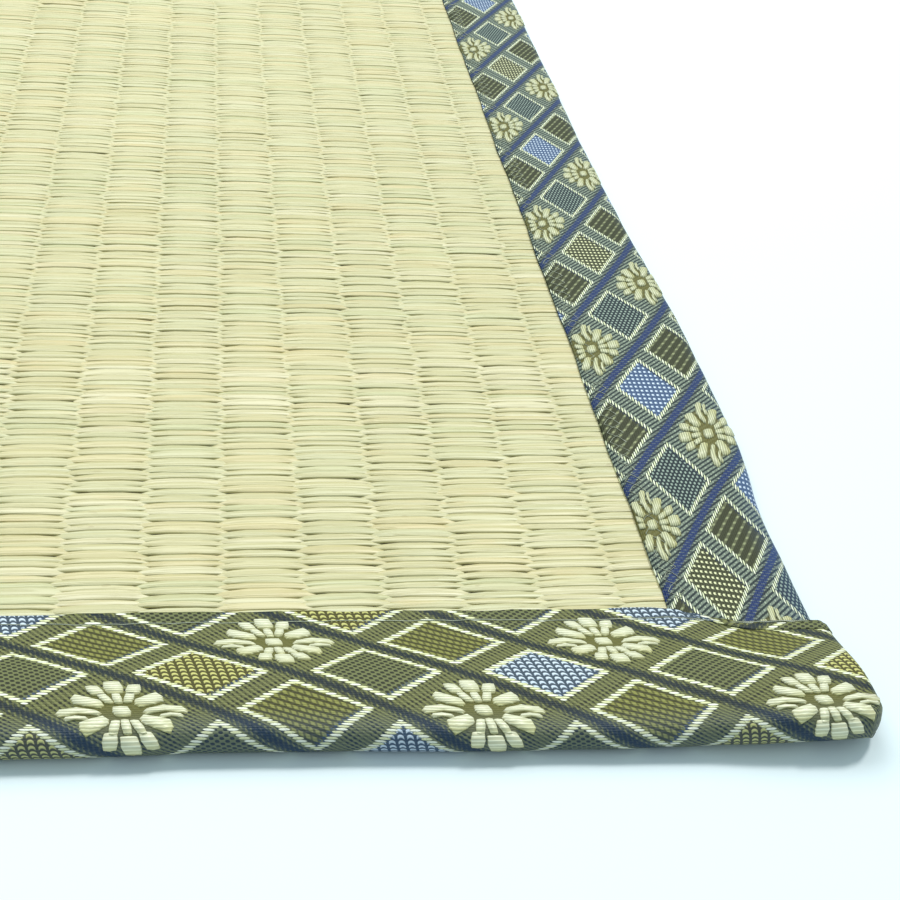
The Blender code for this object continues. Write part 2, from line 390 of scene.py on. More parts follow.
class Term:
    """A shader value on which plain arithmetic works; each operation adds one node."""

    def __init__(self, tree, socket):
        self.tree = tree
        self.socket = socket

    @staticmethod
    def make(tree, kind, settings=None, values=None, output=0):
        node = tree.nodes.new(kind)
        for name, value in (settings or {}).items():
            setattr(node, name, value)
        for name, value in (values or {}).items():
            if isinstance(value, Term):
                tree.links.new(value.socket, node.inputs[name])
            else:
                node.inputs[name].default_value = value
        return Term(tree, node.outputs[output])

    def maths(self, operation, *values):
        return Term.make(self.tree, "ShaderNodeMath", {"operation": operation}, dict(enumerate(values)))

    def __add__(self, other):
        return self.maths("ADD", self, other)

    def __radd__(self, other):
        return self.maths("ADD", other, self)

    def __sub__(self, other):
        return self.maths("SUBTRACT", self, other)

    def __rsub__(self, other):
        return self.maths("SUBTRACT", other, self)

    def __mul__(self, other):
        return self.maths("MULTIPLY", self, other)

    def __rmul__(self, other):
        return self.maths("MULTIPLY", other, self)

    def __truediv__(self, other):
        return self.maths("DIVIDE", self, other)

    def __gt__(self, other):
        return self.maths("GREATER_THAN", self, other)

    def __lt__(self, other):
        return self.maths("LESS_THAN", self, other)

    def __abs__(self):
        return self.maths("ABSOLUTE", self)

    def __mod__(self, other):
        return self.maths("FLOORED_MODULO", self, other)

    def floor(self):
        return self.maths("FLOOR", self)

    def nearest(self):
        return self.maths("ROUND", self)

    def larger(self, other):
        return self.maths("MAXIMUM", self, other)

    def equals(self, other):
        return self.maths("COMPARE", self, other, 0.4)

    def ramp(self, low, high):
        """0 below low, 1 above high, soft in between."""
        values = {"Value": self, "From Min": low, "From Max": high}
        return Term.make(self.tree, "ShaderNodeMapRange", {"interpolation_type": "SMOOTHSTEP"}, values)

    def mix(self, plain, full):
        """The colour plain where this value is 0, and full where it is 1."""
        values = {0: self, 6: colour(plain), 7: colour(full)}
        return Term.make(self.tree, "ShaderNodeMix", {"data_type": "RGBA"}, values, output=2)

    def first_two(self):
        """A vector's first and second part."""
        first = Term.make(self.tree, "ShaderNodeSeparateXYZ", None, {0: self})
        return first, Term(self.tree, first.socket.node.outputs[1])


def colour(value):
    """A colour socket value from an sRGB triple of 0 to 255, or a Term as it is."""
    if isinstance(value, Term):
        return value
    shares = [part / 255 for part in value]
    linear = [s / 12.92 if s <= 0.04045 else ((s + 0.055) / 1.055) ** 2.4 for s in shares]
    return (*linear, 1.0)


def new_material(name):
    material = bpy.data.materials.new(name)
    material.use_nodes = True
    tree = material.node_tree
    return material, tree, tree.nodes["Principled BSDF"]


def set_finish(shader, roughness, specular):
    shader.inputs["Roughness"].default_value = roughness
    shader.inputs["Specular IOR Level"].default_value = specular


def set_bump(tree, shader, height, distance, strength):
    values = {"Height": height, "Distance": distance, "Strength": strength}
    bump = Term.make(tree, "ShaderNodeBump", None, values)
    tree.links.new(bump.socket, shader.inputs["Normal"])


def attribute(tree, name):
    return Term.make(tree, "ShaderNodeAttribute", {"attribute_name": name}, output=2)


def carpet_place(tree):
    """Where a point is in the carpet's own coordinates."""
    return Term.make(tree, "ShaderNodeTexCoord", output=3)


def ribbon_place(tree):
    """Where a point is on the ribbon, in millimetres: along it, and across it from the inner edge."""
    return Term.make(tree, "ShaderNodeUVMap", {"uv_map": "cloth"}).first_two()


def stretched_noise(tree, scales, detail):
    """Noise in the carpet's own coordinates, with its own scale along each axis."""
    values = {0: carpet_place(tree), 1: scales}
    scaled = Term.make(tree, "ShaderNodeVectorMath", {"operation": "MULTIPLY"}, values)
    return Term.make(tree, "ShaderNodeTexNoise", None, {"Vector": scaled, "Scale": 1.0, "Detail": detail})


# Materials of the weave

def rush_material():
    """Dried rush: pale green to straw, satin, finely streaked along the stem."""
    material, tree, shader = new_material("dried rush")
    tone = attribute(tree, "tone")
    # how much shade is painted on the rush at each point
    painted_shade = attribute(tree, "painted_shade")
    streak = stretched_noise(tree, (25.0, 2600.0, 900.0), 2.0)
    blotch = stretched_noise(tree, (55.0, 420.0, 10.0), 2.0)
    region = stretched_noise(tree, (6.0, 6.0, 1.0), 1.0)
    speck = stretched_noise(tree, (260.0, 1500.0, 100.0), 0.0)
    tint = (tone * 7.3) % 1.0
    layers = (
        ("bleached", tone.ramp(0.78, 0.92) * 0.35),
        ("unripe", (0.20 - tone).ramp(0.0, 0.14) * 0.45),
        ("tan", tint.ramp(0.72, 0.84) * 0.32),
        ("cool", ((region - 0.35) * 1.2).ramp(0.0, 1.0) * 0.5),
        ("blotch", blotch.ramp(0.60, 0.72) * 0.32),
        ("streak", streak.ramp(0.46, 0.57) * 0.42),
        ("speck", speck.ramp(0.78, 0.82) * 0.22),
        # painted shade: darker down the curved sides of each near stem, and behind raised strands and in the
        # grooves of the weave beyond
        ("shadow", painted_shade * 0.42),
    )
    stem = (tone + (blotch - 0.5) * 0.9).mix(RUSH_PAINTS["green"], RUSH_PAINTS["straw"])
    for paint, share in layers:
        stem = share.mix(stem, RUSH_PAINTS[paint])
    tree.links.new(stem.socket, shader.inputs["Base Color"])
    set_finish(shader, 0.40, 0.45)
    set_bump(tree, shader, 1 - streak.ramp(0.46, 0.57), 0.00008, 0.6)
    return material


def ground_material():
    """The hidden side of the weave: the same rush, dull, with its ribs and strands in relief and shade
    painted into the gaps between them.
    """
    material, tree, shader = new_material("rush underside")
    x, y = carpet_place(tree).first_two()
    column = ((x - FIRST_GROOVE) / RIB_WIDTH).floor()
    in_column = abs((x - FIRST_GROOVE) / RIB_WIDTH - column - 0.5) * 2
    strand = y / (2 * STRAND_PITCH) + column * 0.5
    in_strand = abs(strand - strand.floor() - 0.5) * 2
    relief = (1 - in_strand * in_strand) * (1 - in_column.ramp(0.7, 1.0))
    # painted shade in the gaps between the strands and at the ribs' edges
    shade = relief.ramp(0.0, 0.6).mix(RUSH_PAINTS["under gap shade"], RUSH_PAINTS["under stem"])
    tree.links.new(shade.socket, shader.inputs["Base Color"])
    shader.inputs["Roughness"].default_value = 0.6
    set_bump(tree, shader, relief, 0.0004, 0.8)
    return material


# Materials of the ribbon

def floats(u, v, pitch, row_height, half_length):
    """1 on the arched floats of thread that stand in straight columns."""
    across = (v / row_height % 1.0 - 0.5) * 2
    off = abs(u / pitch % 1.0 - 0.5)
    arch = across + 0.45 - off * off * 5.5
    return (1 - off.ramp(half_length - 0.05, half_length + 0.05)) * (1 - abs(arch).ramp(0.30, 0.72))


def specks(u, v, pitch, row_height, half_length):
    """1 on the small round gaps or floats of a ground weave, set off by half from row to row."""
    row = (v / row_height).floor()
    across = (v / row_height - row - 0.5) * 2
    off = abs((u / pitch + row * 0.5) % 1.0 - 0.5) / half_length
    return (1 - off * off - across * across * 0.7).ramp(0.0, 0.45)


def twill(u, v, slope, height, lump, thin):
    """How much a lumpy slanting rib stands up: 0 between the ribs, 1 on their lumps."""
    line = (u * slope - v) / height
    number = line.nearest()
    ridge = 1 - abs(line - number) * 2
    along = abs((u / lump + number * 0.37) % 1.0 - 0.5) * 2
    return ridge.ramp(thin, thin + 0.35) * (0.30 + 0.70 * along.ramp(thin - 0.1, thin + 0.3))


class Lattice:
    """Where a point is in the pattern: its thread, its diamond, and how far it is from the crossing bands."""

    def __init__(self, tree, pattern):
        u, self.v = ribbon_place(tree)
        self.taut = self.v + self.v.ramp(*FOLD_BAND) * pattern["taut"]
        row = (self.taut / THREAD_ROW).floor()
        thread = (self.taut / THREAD_ROW - row - 0.5) * 2
        self.off_thread = thread * thread
        self.second_row = row % 2
        mid_v = self.v + (row + 0.5) * THREAD_ROW - self.taut
        self.straight = u - pattern["start"] - pattern["skew"] * self.v
        slanted = u - pattern["start"] - pattern["skew"] * mid_v - LEAN * (self.v - mid_v)
        up = slanted / pattern["pitch"] + (mid_v - pattern["first_row"]) / pattern["cell_across"]
        down = slanted / pattern["pitch"] - (mid_v - pattern["first_row"]) / pattern["cell_across"]
        up_cell = up.nearest()
        down_cell = down.nearest()
        self.from_up = abs(up - up_cell)
        self.from_down = abs(down - down_cell)
        self.rim = self.from_up.larger(self.from_down) + self.second_row * ROW_STAGGER
        self.lower_edge = (up - up_cell).ramp(0.290, 0.318)
        odd_row = (up_cell - down_cell) % 2
        even_row = 1 - odd_row
        turn = up_cell % 4
        self.flower = odd_row * (1 - up_cell % 2)
        self.ribbed = odd_row * (up_cell % 2)
        self.gold = even_row * turn.equals(0)
        self.blue = even_row * turn.equals(2)


def diamond_cloth(at, figures, paints):
    """The cloth inside the diamonds: a dark ground, blue or gold floats, or slanting ribs."""
    inside = figures["fine"].mix(paints["dark"], paints["dark dot"])
    inside = at.blue.mix(inside, figures["big"].mix(paints["blue"], paints["blue dot"]))
    inside = at.gold.mix(inside, figures["big"].mix(paints["gold"], paints["gold dot"]))
    inside = at.ribbed.mix(inside, figures["rib"].mix(paints["rib"], paints["rib stripe"]))
    return (at.lower_edge * (0.35 + 0.65 * figures["teeth"])).mix(inside, paints["comb"])


def band_cloth(at, figures, paints, line_half):
    """The cloth between the diamonds: striped bands, a dark line along them, and the flowers' hearts."""
    teeth = figures["teeth"]
    to_line = 0.5 - at.from_down
    stripe = 1 - abs((0.5 - at.from_up) / STRIPE % 1.0 - 0.5) * 2
    stripes = stripe.ramp(0.30, 0.65) * (0.55 + 0.45 * figures["fine"])
    band = stripes.mix(paints["band"], paints["band dot"])
    flank = (teeth * 0.75).mix(band, paints["flank dark"])
    band = (1 - to_line.ramp(0.075, 0.100)).mix(band, flank)
    solid = 1 - (1 - teeth) * paints["slits"]
    line = 1 - to_line.ramp(line_half - 0.006, line_half + 0.006)
    band = (line * solid).mix(band, paints["line"])
    off_heart = at.from_up * at.from_up + at.from_down * at.from_down
    heart = (1 - off_heart.ramp(0.10, 0.15)) * at.flower
    return (heart * 0.9).mix(band, paints["heart"])


def brocade_material(name, paints, pattern):
    """The ribbon's weave: a lattice of diamonds and flowers on crossing bands."""
    material, tree, shader = new_material(name)
    at = Lattice(tree, pattern)
    figures = {
        "big": floats(at.straight, at.taut, pattern["float_pitch"], FLOAT_ROW, pattern["float_half"]),
        "fine": specks(at.straight, at.taut, *pattern["ground"]),
        "rib": twill(at.straight, at.taut, *pattern["twill"]),
        "teeth": (abs(at.straight / TOOTH % 1.0 - 0.5)).ramp(0.12, 0.30),
    }
    inside = diamond_cloth(at, figures, paints)
    band = band_cloth(at, figures, paints, pattern["line_half"])
    cloth = (at.rim > RIM_MIDDLE).larger(at.flower).mix(inside, band)

    off_rim = (at.rim - RIM_MIDDLE) / pattern["rim_half"]
    not_flower = 1 - at.flower
    stroke = (1 - off_rim * off_rim - at.off_thread * pattern["stroke_gap"]).ramp(0.0, 0.40) * not_flower
    near_rim = (1 - abs(off_rim).ramp(0.75, 1.05)) * not_flower
    thread_round = 1 - at.off_thread
    cloth = (near_rim * 0.75).mix(cloth, paints["gap"])
    cloth = stroke.mix(cloth, at.second_row.mix(paints["cream"], paints["pale gold"]))
    cloth = ((1 - thread_round.ramp(0.0, 0.5)) * 0.30).mix(cloth, paints["shade"])
    # painted reflection: a bluish sheen laid over the cloth towards its fold
    cloth = (at.v.ramp(24.0, 31.0) * 0.22).mix(cloth, paints["fold"])
    tree.links.new(cloth.socket, shader.inputs["Base Color"])

    figure = (at.blue + at.gold) * figures["big"] + at.ribbed * figures["rib"] * 0.7
    figure = figure * (at.rim < RIM_MIDDLE)
    height = thread_round * 0.4 + stroke * 0.7 + figure * 0.7 + figures["fine"] * pattern["relief"]
    set_bump(tree, shader, height, 0.00018, 0.7)
    set_finish(shader, 0.50, 0.22)
    return material


def floss_material(name, light, warm, dark, painted_shade):
    """Glossy embroidery-like floats that make up the flowers."""
    material, tree, shader = new_material(name)
    across = ribbon_place(tree)[1]
    thread = abs(across / THREAD_ROW % 1.0 - 0.5) * 2
    shade = (attribute(tree, "low_side") * 0.7).mix(light, warm)
    # painted shade between the floss threads and round each block's sunk rim
    gap = (1 - thread).ramp(0.0, 0.5) * painted_shade + attribute(tree, "rim") * 0.38
    shade = gap.mix(shade, dark)
    tree.links.new(shade.socket, shader.inputs["Base Color"])
    set_finish(shader, 0.36, 0.5)
    set_bump(tree, shader, thread, 0.00010, 0.6)
    return material


def plain_material(name, paint, roughness, specular):
    material, _, shader = new_material(name)
    shader.inputs["Base Color"].default_value = colour(paint)
    set_finish(shader, roughness, specular)
    return material


# The rush weave

def rib_grooves():
    half = FIRST_GROOVE + RIB_WIDTH * np.arange(RIBS_EACH_SIDE + 1)
    return np.concatenate((-half[::-1], half))


def rim_share(x, y):
    """1 where the mat lies inside the bindings, 0 where it lies on the floor."""
    from_side = (HALF_WIDTH - np.abs(x) - SIDE_RIM) / RIM_SLOPE
    from_end = (HALF_LENGTH - np.abs(y) - END_RIM) / RIM_SLOPE
    return np.maximum(1 - smooth(from_side), 1 - smooth(from_end))


def crest_height(x, y):
    return CREST_HEIGHT + RIM_RISE * rim_share(x, y)


def strand_centres():
    """Where each strand of rush lies along the carpet; their widths differ."""
    count = int(2 * WEAVE_HALF_LENGTH / STRAND_PITCH)
    count += count % 2
    widths = rng.uniform(1 - STRAND_JITTER, 1 + STRAND_JITTER, count)
    ends = np.concatenate(((0,), np.cumsum(widths)))
    return -WEAVE_HALF_LENGTH + 2 * WEAVE_HALF_LENGTH * (ends[:-1] + ends[1:]) / 2 / ends[-1]


def shown_lengths(columns, strands):
    """The rib and the strand of every length of rush that shows: every second strand in each rib."""
    lengths = []
    for column in columns:
        shown = np.arange(1 + column % 2, strands - 1, 2)
        lengths.append(np.column_stack((np.full(len(shown), column), shown)))
    return np.concatenate(lengths).T


def rush_shells(middle, centre, half_pitch):
    """The points of lengths of rush, each a shell that dips under its neighbours at both ends."""

    def vary(what):
        amount = RUSHES_DIFFER[what]
        return rng.uniform(-amount, amount, len(middle))[:, None, None]

    s = RUSH_STATIONS[None, :, None]
    angle = RUSH_ANGLES[None, None, :]
    half_length = RIB_WIDTH / 2 + TIP_OVERLAP * (1 + vary("tip"))
    x = middle[:, None, None] + s * half_length + 0 * angle
    half_width = half_pitch[:, None, None] * (RUSH_FULLNESS + vary("width"))
    narrowing = RUSH_NARROWING + vary("narrowing")
    tip = smooth((np.abs(s) - 0.88) / 0.12)
    taper = 1 - narrowing * smooth((np.abs(s) - 0.40) / 0.45) - TIP_NARROWING * tip
    slope = vary("slope")
    bow = vary("bow")
    roll = vary("roll")
    y = centre[:, None, None] + vary("place") + slope * s + bow * (1 - s * s)
    y = y + half_width * taper * np.sin(angle)
    arch = ARCH * (0.65 * s * s + 0.35 * np.abs(s) ** 6.0)
    shell = RUSH_DEPTH * (1 - np.cos(angle + roll * (1 - s * s))) ** 2.2
    z = crest_height(x, y) + vary("height") - arch - shell
    return np.stack((x, y, z), -1).reshape(-1, 3)


def near_rushes(name, grooves, columns, centres, tones, material):
    """Every visible length of rush in these ribs, one by one."""
    column, strand = shown_lengths(columns, len(centres))
    count = len(column)
    middle = (grooves[column] + grooves[column + 1]) / 2
    points = rush_shells(middle, centres[strand], (centres[strand + 1] - centres[strand - 1]) / 2)
    rows = len(RUSH_STATIONS)
    size = rows * len(RUSH_ANGLES)
    own_tone = tones[strand] + rng.normal(0, RUSH_TONE_SPREAD, count)
    # painted shade down each stem's curved sides, darkest at its edges where it dips under its neighbours
    stem_flank_shade = (np.abs(RUSH_ANGLES) / RUSH_ANGLES[-1]) ** 3
    values = {"tone": np.repeat(np.clip(own_tone, 0, 1), size), "painted_shade": np.tile(stem_flank_shade, count * rows)}
    quads = many(grid_quads(rows, len(RUSH_ANGLES)), count, size)
    low = points.min(0)
    bake = ((points - low) / (points.max(0) - low))[:, :2]
    return make_object(name, lie(points), quads, material, values, {"OFBake": bake})


def far_weave(name, grooves, columns, centres, strands, tones, material):
    """The same weave more plainly: one sheet whose strands rise and sink in turn from rib to rib."""
    boundaries = grooves[columns[0]:columns[-1] + 2]
    lines = np.empty(2 * len(boundaries) - 1)
    lines[::2] = boundaries
    lines[1::2] = (boundaries[:-1] + boundaries[1:]) / 2
    column = columns[0] + (np.arange(len(lines)) - 1) // 2
    middle = np.arange(len(lines)) % 2 == 1
    strand = np.asarray(strands)
    raised = middle[None, :] & ((strand[:, None] + column[None, :]) % 2 == 1)
    hidden = middle[None, :] & ~raised
    x = np.broadcast_to(lines[None, :], raised.shape)
    y = centres[strand][:, None] + rng.uniform(-FAR_SWAY, FAR_SWAY, raised.shape)
    drop = np.where(raised, 0.0, np.where(hidden, HIDDEN_DROP, GROOVE_DROP))
    z = crest_height(x, y) - drop + rng.uniform(-FAR_UNEVEN, FAR_UNEVEN, raised.shape)
    tone = np.broadcast_to(tones[strand][:, None], raised.shape)
    # painted shade behind the raised strands and in the grooves
    painted_shade = np.where(raised, 0.0, np.where(hidden, HIDDEN_SHADE, GROOVE_SHADE))
    points = np.stack((x, y, z), -1).reshape(-1, 3)
    low = points.min(0)
    width, length, _ = points.max(0) - low
    rows = max(1, round(math.sqrt(length / width)))
    bake = folded_map(points[:, 1] - low[1], points[:, 0] - low[0], length, width, rows)
    values = {"tone": tone.reshape(-1), "painted_shade": painted_shade.reshape(-1)}
    return make_object(name, lie(points), grid_quads(*raised.shape), material, values, {"OFBake": bake})


def sheet_rim(rows, columns):
    """The points round the edge of a sheet of rows x columns points, in order."""
    return np.concatenate((
        np.arange(columns),
        np.arange(1, rows) * columns + columns - 1,
        (rows - 1) * columns + np.arange(columns - 2, -1, -1),
        np.arange(rows - 2, 0, -1) * columns,
    ))


def rush_ground(material):
    """The closed sheet under the rushes: the hidden side of the weave."""
    xs = (HALF_WIDTH - MAT_INSET) * np.linspace(-1, 1, GROUND_COLUMNS)
    ys = (HALF_LENGTH - MAT_INSET) * np.linspace(-1, 1, GROUND_ROWS)
    y, x = (part.ravel() for part in np.meshgrid(ys, xs, indexing="ij"))
    rim = rim_share(x, y)
    top = lie(np.column_stack((x, y, GROUND_TOP + GROUND_RIM_TOP * rim)))
    low = lie(np.column_stack((x, y, GROUND_TOP - GROUND_THICKNESS + GROUND_RIM_LOW * rim)))
    sheet = grid_quads(GROUND_ROWS, GROUND_COLUMNS)
    edge = sheet_rim(GROUND_ROWS, GROUND_COLUMNS)
    following = np.roll(edge, -1)
    size = len(x)
    sides = np.column_stack((edge, edge + size, following + size, following))
    quads = np.vstack((sheet, sheet[:, ::-1] + size, sides))
    bake = np.column_stack((x / WIDTH + 0.5, y / LENGTH + 0.5))
    halves = np.vstack((bake * (0.5, 1.0), bake * (0.5, 1.0) + (0.5, 0)))
    return make_object("rush_ground", np.vstack((top, low)), quads, material, None, {"OFBake": halves})


# The folded ribbons

def folded_section(flap, crown, climb, fold, steps, under_start):
    """A ribbon's outer face from its free edge over the fold to the floor, as (inward, height)."""
    top = np.column_stack((flap, EDGE_HEIGHT + (crown - EDGE_HEIGHT) * climb))
    angle = np.radians(np.linspace(90, -90, steps)[1:])
    turn = np.column_stack((fold - fold * np.cos(angle), crown / 2 * (1 + np.sin(angle))))
    under = np.column_stack((np.linspace(under_start, flap[0] - UNDER_SHORTFALL, 3), np.zeros(3)))
    return np.vstack((top, turn, under))


def side_section():
    flap = np.linspace(SIDE_RIBBON_WIDTH, SIDE_FOLD, 11)
    climb = smooth((SIDE_RIBBON_WIDTH - flap) / SIDE_CLIMB)
    return folded_section(flap, SIDE_CROWN, climb, SIDE_FOLD, 11, SIDE_UNDER_START)


def end_section():
    """An end ribbon's section, puffed up towards its fold, with more points where its edge is turned in."""
    radius = END_CROWN / 2
    edge = np.linspace(END_RIBBON_WIDTH, END_RIBBON_WIDTH - 2 * TURNED_IN, 8)
    flap = np.concatenate((edge, np.linspace(edge[-1], radius, 13)[1:]))
    climb = smooth((END_CLIMB_START - flap) / END_CLIMB)
    return folded_section(flap, END_CROWN, climb, radius, 13, END_UNDER_START)


def section_lengths(section):
    steps = np.hypot(*np.diff(section, axis=0).T)
    return np.concatenate(((0,), np.cumsum(steps)))


def pucker(along, across):
    """How far the cloth sinks at the sewing: a dent at each stitch."""
    to_stitch = np.abs((along / STITCH_LENGTH) % 1 - 0.5) * 2
    row = np.exp(-((across - STITCH_INSET) / STITCH_SPREAD) ** 2)
    return STITCH_DIP * row * (0.45 + 0.55 * to_stitch ** 2)


def waviness(along, seed):
    """A free edge's slow unevenness, in metres."""
    waves = enumerate(EDGE_WAVES, 1)
    return sum(size * np.sin(along / length * 2 * np.pi + seed * k) for k, (length, size) in waves)


def side_place(along, inward, height):
    """A side ribbon's points at the right edge, pressed flat between the flaps of the end ribbons."""
    covered = HALF_LENGTH - END_RIBBON_WIDTH - SIDE_END_SLOPE
    inside = smooth((np.abs(along) - covered) / SIDE_END_SLOPE)
    share = height / SIDE_CROWN
    height = height - SIDE_PRESSED * inside * share + UNDER_LIFT * inside * (1 - share)
    return HALF_WIDTH - inward, along, height


def end_place(along, inward, height, edge_share, upper):
    """An end ribbon's points at the front edge, its free edge turned in near the corners."""
    size = np.abs(along)
    near_end = smooth((size - HALF_WIDTH + TURN_START) / TURN_SLOPE)
    turned = np.maximum(0, inward - END_RIBBON_WIDTH + TURNED_IN * near_end) * upper
    inward = inward - 2 * turned
    pressed = smooth((size - PRESSED_START) / PRESSED_SLOPE)
    height = height * (1 - PRESSED * pressed + (PRESSED + CORNER_PUFF) * near_end)
    height = height - CLOTH * smooth(turned / TURN_DROP)
    over_side = smooth((size - HALF_WIDTH + SIDE_RIBBON_WIDTH + LAP_SLOPE) / LAP_SLOPE)
    height = height + LAP_RISE * over_side * edge_share
    x, height, inward = tucked_end(along, inward, height, upper)
    return x, inward - DRAWN_IN * near_end * edge_share - HALF_LENGTH, height


def overhang(inward, upper):
    """How far an end ribbon reaches past the side one: most by its fold, little underneath."""
    share = np.clip((OVERHANG_START - inward) / OVERHANG_RISE, 0, 1)
    reach = OVERHANG_INNER + (OVERHANG - OVERHANG_INNER) * np.sin(np.pi / 2 * share)
    reach = reach * (1 - np.maximum(0, 1 - inward / ROUNDING_REACH) ** 1.5)
    under = smooth(inward / UNDER_REACH) * (1 - upper)
    return reach * (1 - (1 - UNDER_OVERHANG) * under)


def tucked_end(along, inward, height, upper):
    """Closes an end ribbon past the side one and tucks its end back in: (x, height, inward)."""
    size = np.abs(along)
    reach = overhang(inward, upper)
    past = np.maximum(0, size - HALF_WIDTH)
    outward = np.minimum(past, OVERHANG) / OVERHANG
    back = np.maximum(0, past - OVERHANG)
    x = np.where(past > 0, HALF_WIDTH + outward * reach - back, size)
    room = np.clip(np.maximum(0, HALF_WIDTH + reach - x) / CLOSING_REACH, 0, 1)
    closing = np.sqrt(np.clip(1 - (1 - room) ** 2, 0, 1))
    closing = np.where(back > 0, 0.0, closing)
    slack = TUCK_SLACK + TIP_SLACK * outward
    tucked = TUCK_HEIGHT + np.sign(height - TUCK_HEIGHT) * slack
    height = np.where(size > HALF_WIDTH - CLOSING_START, tucked + (height - tucked) * closing, height)
    return np.copysign(x, along), height, inward + back * np.exp(-inward / TUCK_FADE)


class Ribbon:
    """One folded ribbon as a surface: at() gives its point at a place along and across it, raised or not."""

    def __init__(self, name, kind, turn, section):
        self.name = name
        self.kind = kind
        self.turn = turn
        self.section = section
        self.lengths = section_lengths(section)

    def flat(self, along, across):
        """Its point at the right or the front of a carpet cut square."""
        inward = np.interp(across, self.lengths, self.section[:, 0])
        height = np.interp(across, self.lengths, self.section[:, 1])
        upper = np.clip(1 - (across - self.lengths[-1] * UPPER_SHARE) / UPPER_FADE, 0, 1)
        edge_share = np.clip(inward / self.section[0, 0], 0, 1) * upper
        height = np.maximum(height, OFF_FLOOR) - pucker(along, across) * upper
        free_seed, fold_seed, fold_strength = EDGES_WAVE[self.kind]
        free = waviness(along, free_seed) * edge_share
        folded = waviness(along, fold_seed) * (1 - edge_share) * fold_strength
        inward = inward + free + folded
        if self.kind == "side":
            return side_place(along, inward, height)
        return end_place(along, inward, height, edge_share, upper)

    def at(self, along, across, raised=0.0):
        step = 0.0003
        centre = np.column_stack(self.flat(along, across))
        if np.any(raised):
            ahead = np.column_stack(self.flat(along + step, across))
            outer = np.column_stack(self.flat(along, across + step))
            normal = np.cross(outer - centre, ahead - centre)
            normal /= np.maximum(np.linalg.norm(normal, axis=1), 1e-12)[:, None]
            centre = centre + normal * np.reshape(raised, (-1, 1))
        centre = centre * (self.turn, self.turn, 1)
        return lie(centre)


def ribbon_stations(ribbon):
    """Places along a ribbon: close together at the corner that was seen from near."""
    step = SEEN_STEP if ribbon.turn > 0 else TWIN_STEP
    if ribbon.kind == "side":
        last = HALF_LENGTH - SIDE_RIBBON_SETBACK
        near = np.arange(-last, -last + SEEN_SIDE_LENGTH, step)
        far = np.arange(near[-1] + 0.004, last, FAR_STEP)
        return np.concatenate((near, far, (last,)))
    near = np.arange(SEEN_END_START, HALF_WIDTH - 0.001, step)
    far = np.arange(-HALF_WIDTH, SEEN_END_START - 0.003, FAR_STEP)
    end = HALF_WIDTH + OVERHANG * np.array((0, 0.15, 0.3, 0.45, 0.6, 0.75, 0.87, 0.95, 1.0))
    tuck = HALF_WIDTH + OVERHANG + np.array((0.0007, 0.0016, 0.0026))
    return np.concatenate((-tuck[::-1], -end[:0:-1], far, near, end, tuck))


def make_ribbon(ribbon, material):
    stations = ribbon_stations(ribbon)
    across = ribbon.lengths
    along, over = (part.ravel() for part in np.meshgrid(stations, across, indexing="ij"))
    quads = grid_quads(len(stations), len(across))
    places = pattern_place(ribbon, along, over)
    length = stations[-1] - stations[0]
    rows = 5 if ribbon.kind == "side" else 4
    maps = {"cloth": places, "OFBake": folded_map(along - stations[0], over, length, across[-1], rows)}
    piece = make_object(ribbon.name, ribbon.at(along, over), quads, material, None, maps)
    solidify = piece.modifiers.new("cloth", "SOLIDIFY")
    solidify.thickness = CLOTH
    solidify.offset = -1.0
    return piece


# The pattern's place on the ribbons

def slip(ribbon, along, across):
    """How far the pattern has slipped along and across: no ribbon is folded quite straight."""
    over = across * MM
    if ribbon.kind == "end":
        wave = SLIP_WAVE * np.cos((along - SLIP_WAVE_START) / SLIP_WAVE_LENGTH * 2 * np.pi)
        drift = wave - EDGE_SLIP * (1 - smooth((over - SLIP_FADE) / SLIP_FADE))
        return 0 * along, drift - FOLD_SLIP * smooth((over - FOLD_SLIP_START) / SLIP_FADE)
    near_corner = 1 - smooth((along + HALF_LENGTH - CORNER_SLIP_END) / CORNER_SLIP_FADE)
    return tuple((start + more * over) * near_corner for start, more in CORNER_SLIPS)


def pattern_place(ribbon, along, across):
    """The place in the pattern, in millimetres, of a place on the ribbon in metres."""
    slip_along, slip_across = slip(ribbon, along, across)
    return np.column_stack((along * MM + PATTERN_START[ribbon.kind] + slip_along, across * MM + slip_across))


def real_place(ribbon, places):
    """Where on the ribbon a place in its pattern lies: (along, across) in metres."""
    along = (places[:, 0] - PATTERN_START[ribbon.kind]) / MM
    across = places[:, 1] / MM
    rounds = 5
    for _ in range(rounds):
        wrong = places - pattern_place(ribbon, along, across)
        along = along + wrong[:, 0] / MM
        across = across + wrong[:, 1] / MM
    return along, across


# The flowers

def flower_blocks():
    """Every block of one flower."""
    blocks = []
    for along, across, half_length, half_width, degrees, lean, narrowing, droop, upwards in FLOWER_BLOCKS:
        turn = math.radians(degrees)
        for sign_u in ((1, -1) if along else (1,)):
            for sign_v in ((1, -1) if upwards else (1,)):
                blocks.append((sign_u * along, sign_v * across, half_length, half_width,
                               sign_u * math.cos(turn), sign_v * math.sin(turn), sign_u * sign_v * lean,
                               narrowing, droop))
    return np.array(blocks)


def flower_places(ribbon, low, high):
    """The middles of the flowers on a ribbon, in its pattern's millimetres."""
    pattern = PATTERNS[ribbon.kind]
    width = ribbon.lengths[-1] * MM
    places = []
    for row in range(-1, 10, 2):
        across = pattern["first_row"] + pattern["cell_across"] / 2 * row
        if not -7 < across < width + 6:
            continue
        for turn in range(-70, 71, 2):
            along = pattern["start"] + pattern["skew"] * across + pattern["pitch"] * (turn - row / 2)
            if low < along < high:
                places.append((along, across))
    return np.array(places)


